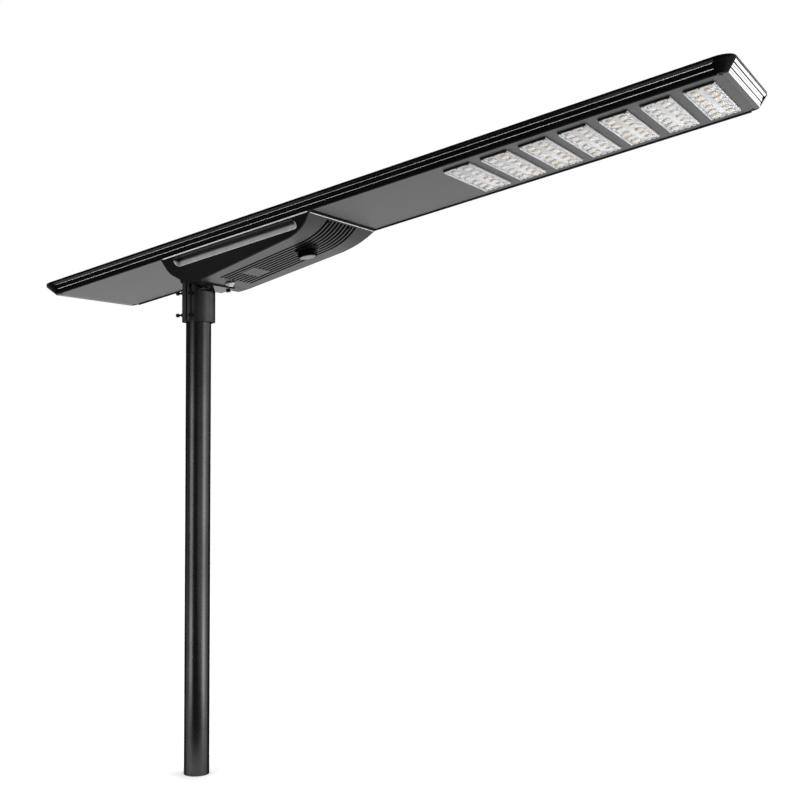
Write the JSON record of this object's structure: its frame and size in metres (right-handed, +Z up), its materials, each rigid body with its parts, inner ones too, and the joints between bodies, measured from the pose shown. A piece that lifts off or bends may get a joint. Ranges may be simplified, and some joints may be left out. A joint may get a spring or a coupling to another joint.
{
  "type": "solar street lamp",
  "caption": "Solar street lamp head with a tilted panel, LED modules and a battery housing underneath, clamped to a round pole.",
  "frame": {"origin": "centre of the open foot of the pole", "axes": "+Z up the pole, +X towards the LED end of the head, -Y is the near side"},
  "size_m": [2.1068, 0.4188, 1.8915],
  "materials": {
    "frame_paint": "satin black powder coat",
    "housing_paint": "fine black powder coat",
    "underside_paint": "satin black powder coat",
    "bare_aluminium": "plain mill finish",
    "white_sheet": "matte white polymer film",
    "solar_cell": "dark blue-black cells with fine silver lines",
    "clear_glass": "clear tempered glass",
    "black_plastic": "fine-grained matte black",
    "clear_lens": "clear moulded polycarbonate",
    "circuit_board": "white solder mask",
    "led_phosphor": "yellow phosphor",
    "steel_hardware": "plain stainless",
    "silver_trim": "silver paint",
    "gasket_rubber": "soft black rubber",
    "sensor_window": "frosted grey",
    "cell_wrap": "blue shrink wrap",
    "black_hardware": "black oxide",
    "pole_paint": "smooth satin black",
    "clamp_paint": "satin black powder coat"
  },
  "bodies": {
    "pole": {"pole": "pole_paint"},
    "clamp": {"reducer_sleeve": "black_plastic", "clamp_saddle": "clamp_paint", "clamp_strap": "clamp_paint", "clamp_bolts": "black_hardware", "clamp_nuts": "black_hardware", "pivot_bolt": "black_hardware", "lock_bolt": "black_hardware", "tilt_nuts": "black_hardware"},
    "head": {"rail_near": "frame_paint", "rail_far": "frame_paint", "rail_rear": "frame_paint", "rail_front": "frame_paint", "corner_rear_near": "black_plastic", "corner_rear_far": "black_plastic", "corner_front_near": "black_plastic", "corner_front_far": "black_plastic", "back_plate": "underside_paint", "cross_braces": "bare_aluminium", "backsheet": "white_sheet", "solar_cells": "solar_cell", "solar_glass": "clear_glass", "junction_box": "black_plastic", "lens_plate_1": "clear_lens", "lens_plate_2": "clear_lens", "lens_plate_3": "clear_lens", "lens_plate_4": "clear_lens", "lens_plate_5": "clear_lens", "lens_plate_6": "clear_lens", "lens_plate_7": "clear_lens", "led_board_1": "circuit_board", "led_board_2": "circuit_board", "led_board_3": "circuit_board", "led_board_4": "circuit_board", "led_board_5": "circuit_board", "led_board_6": "circuit_board", "led_board_7": "circuit_board", "led_chips": "led_phosphor", "module_screws": "steel_hardware", "housing_body": "housing_paint", "side_trim_near": "silver_trim", "side_trim_far": "silver_trim", "cover_hinge_leaf": "frame_paint", "cover_hinge_pin": "steel_hardware", "battery_cells": "cell_wrap", "battery_tray": "bare_aluminium", "battery_straps": "black_plastic", "battery_board": "circuit_board", "charge_controller": "bare_aluminium", "led_driver": "bare_aluminium", "mount_bracket": "frame_paint", "bracket_screws": "black_hardware"},
    "cover": {"battery_cover": "underside_paint", "cover_gasket": "gasket_rubber", "louvre_screws": "black_hardware", "sensor_collar": "black_plastic"},
    "latch": {"latch_knob": "steel_hardware", "latch_cam": "steel_hardware"},
    "sensor": {"sensor_body": "black_plastic", "sensor_lens": "sensor_window"}
  },
  "joints": [
    {"name": "clamp_yaw", "type": "hinge", "parent": "pole", "child": "clamp", "pos_m": [0, 0, 1.4], "axis": [0, 0, 1], "continuous": true},
    {"name": "head_tilt", "type": "hinge", "parent": "clamp", "child": "head", "pos_m": [0.01, 0, 1.468], "axis": [0, -1, 0], "range_deg": [-1.1, 18.9]},
    {"name": "cover_hinge", "type": "hinge", "parent": "head", "child": "cover", "pos_m": [0.51133, 0, 1.62859], "axis": [0, -1, 0], "range_deg": [0, 75]},
    {"name": "latch_turn", "type": "hinge", "parent": "cover", "child": "latch", "pos_m": [0.11756, 0, 1.47276], "axis": [-0.1925, 0, 0.9813], "range_deg": [0, 90]},
    {"name": "sensor_twist", "type": "hinge", "parent": "cover", "child": "sensor", "pos_m": [0.39044, 0, 1.54668], "axis": [0.1925, 0, -0.9813], "range_deg": [0, 40]}
  ]
}
